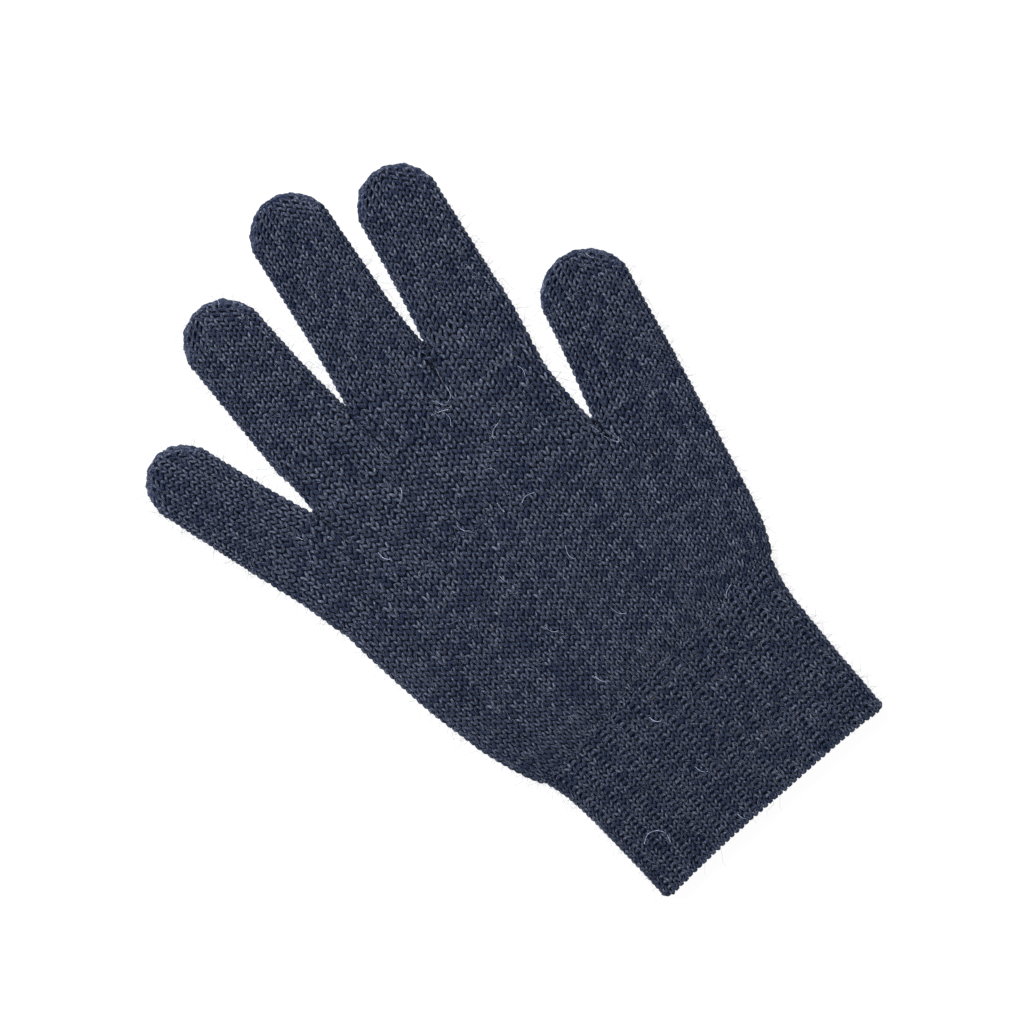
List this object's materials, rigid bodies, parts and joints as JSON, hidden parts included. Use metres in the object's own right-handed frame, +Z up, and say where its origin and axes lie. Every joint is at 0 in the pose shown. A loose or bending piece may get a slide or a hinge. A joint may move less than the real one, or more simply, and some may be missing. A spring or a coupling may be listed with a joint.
{
  "type": "knitted glove",
  "caption": "Seamless knitted wool glove with separate fingers and a ribbed cuff, lying flat; fingers, thumb and cuff bend at their fold lines.",
  "frame": {"origin": "centre of the bounding box at its bottom, on the surface the glove lies on", "axes": "+Y from the cuff towards the fingertips, +X towards the thumb, +Z up, out of the palm side"},
  "size_m": [0.16, 0.2453, 0.009],
  "materials": {
    "plain_knit": "navy melange wool, plain knit, matt",
    "rib": "navy melange wool, two by one rib, matt",
    "edge_stitches": "navy melange wool, edge stitches, matt",
    "linked_stitches": "navy melange wool, linked stitches, matt",
    "elastic": "dark covered elastic thread"
  },
  "bodies": {
    "palm": {"five_finger_palm": "plain_knit", "four_finger_palm": "plain_knit", "three_finger_palm": "plain_knit", "little_ring_join": "linked_stitches", "ring_middle_join": "linked_stitches", "middle_index_join": "linked_stitches", "thumb_join": "linked_stitches"},
    "cuff": {"cuff": "rib", "cuff_edge": "edge_stitches", "elastic_thread_1": "elastic", "elastic_thread_2": "elastic", "elastic_thread_3": "elastic", "elastic_thread_4": "elastic", "elastic_thread_5": "elastic", "elastic_thread_6": "elastic"},
    "little_lower": {"little_lower": "plain_knit"},
    "little_middle": {"little_middle": "plain_knit"},
    "little_tip": {"little_tip": "plain_knit"},
    "ring_lower": {"ring_lower": "plain_knit"},
    "ring_middle": {"ring_middle": "plain_knit"},
    "ring_tip": {"ring_tip": "plain_knit"},
    "middle_lower": {"middle_lower": "plain_knit"},
    "middle_middle": {"middle_middle": "plain_knit"},
    "middle_tip": {"middle_tip": "plain_knit"},
    "index_lower": {"index_lower": "plain_knit"},
    "index_middle": {"index_middle": "plain_knit"},
    "index_tip": {"index_tip": "plain_knit"},
    "thumb_lower": {"thumb_lower": "plain_knit"},
    "thumb_tip": {"thumb_tip": "plain_knit"}
  },
  "joints": [
    {"name": "wrist_fold", "type": "hinge", "parent": "palm", "child": "cuff", "pos_m": [0.00733, -0.0666, 0.0094], "axis": [-0.996, -0.0899, 0], "range_deg": [0, 80]},
    {"name": "little_root_bend", "type": "hinge", "parent": "palm", "child": "little_lower", "pos_m": [-0.05703, 0.0371, 0.008], "axis": [1, 0, 0], "range_deg": [0, 85]},
    {"name": "little_middle_bend", "type": "hinge", "parent": "little_lower", "child": "little_middle", "pos_m": [-0.0622, 0.0534, 0.008], "axis": [0.9532, 0.3024, 0], "range_deg": [0, 90]},
    {"name": "little_tip_bend", "type": "hinge", "parent": "little_middle", "child": "little_tip", "pos_m": [-0.0668, 0.06789, 0.008], "axis": [0.9532, 0.3024, 0], "range_deg": [0, 54]},
    {"name": "ring_root_bend", "type": "hinge", "parent": "palm", "child": "ring_lower", "pos_m": [-0.0298, 0.0554, 0.008], "axis": [1, 0, 0], "range_deg": [0, 85]},
    {"name": "ring_middle_bend", "type": "hinge", "parent": "ring_lower", "child": "ring_middle", "pos_m": [-0.02994, 0.07488, 0.008], "axis": [1, 0.007, 0], "range_deg": [0, 90]},
    {"name": "ring_tip_bend", "type": "hinge", "parent": "ring_middle", "child": "ring_tip", "pos_m": [-0.03006, 0.09219, 0.008], "axis": [1, 0.007, 0], "range_deg": [0, 54]},
    {"name": "middle_root_bend", "type": "hinge", "parent": "palm", "child": "middle_lower", "pos_m": [0.00085, 0.0554, 0.008], "axis": [1, 0, 0], "range_deg": [0, 85]},
    {"name": "middle_middle_bend", "type": "hinge", "parent": "middle_lower", "child": "middle_middle", "pos_m": [0.00362, 0.07932, 0.008], "axis": [0.9934, -0.1149, 0], "range_deg": [0, 90]},
    {"name": "middle_tip_bend", "type": "hinge", "parent": "middle_middle", "child": "middle_tip", "pos_m": [0.00608, 0.10059, 0.008], "axis": [0.9934, -0.1149, 0], "range_deg": [0, 54]},
    {"name": "index_root_bend", "type": "hinge", "parent": "palm", "child": "index_lower", "pos_m": [0.03195, 0.0554, 0.008], "axis": [1, 0, 0], "range_deg": [0, 85]},
    {"name": "index_middle_bend", "type": "hinge", "parent": "index_lower", "child": "index_middle", "pos_m": [0.03501, 0.07431, 0.008], "axis": [0.9871, -0.1599, 0], "range_deg": [0, 90]},
    {"name": "index_tip_bend", "type": "hinge", "parent": "index_middle", "child": "index_tip", "pos_m": [0.03773, 0.09111, 0.008], "axis": [0.9871, -0.1599, 0], "range_deg": [0, 54]},
    {"name": "thumb_root_bend", "type": "hinge", "parent": "palm", "child": "thumb_lower", "pos_m": [0.05833, 0.0037, 0.008], "axis": [1, 0, 0], "range_deg": [0, 60]},
    {"name": "thumb_tip_bend", "type": "hinge", "parent": "thumb_lower", "child": "thumb_tip", "pos_m": [0.06325, 0.02647, 0.008], "axis": [0.9774, -0.2113, 0], "range_deg": [0, 75]}
  ],
  "couplings": [
    {"joint": "little_tip_bend", "follows": "little_middle_bend", "ratio": 0.6},
    {"joint": "ring_tip_bend", "follows": "ring_middle_bend", "ratio": 0.6},
    {"joint": "middle_tip_bend", "follows": "middle_middle_bend", "ratio": 0.6},
    {"joint": "index_tip_bend", "follows": "index_middle_bend", "ratio": 0.6}
  ]
}
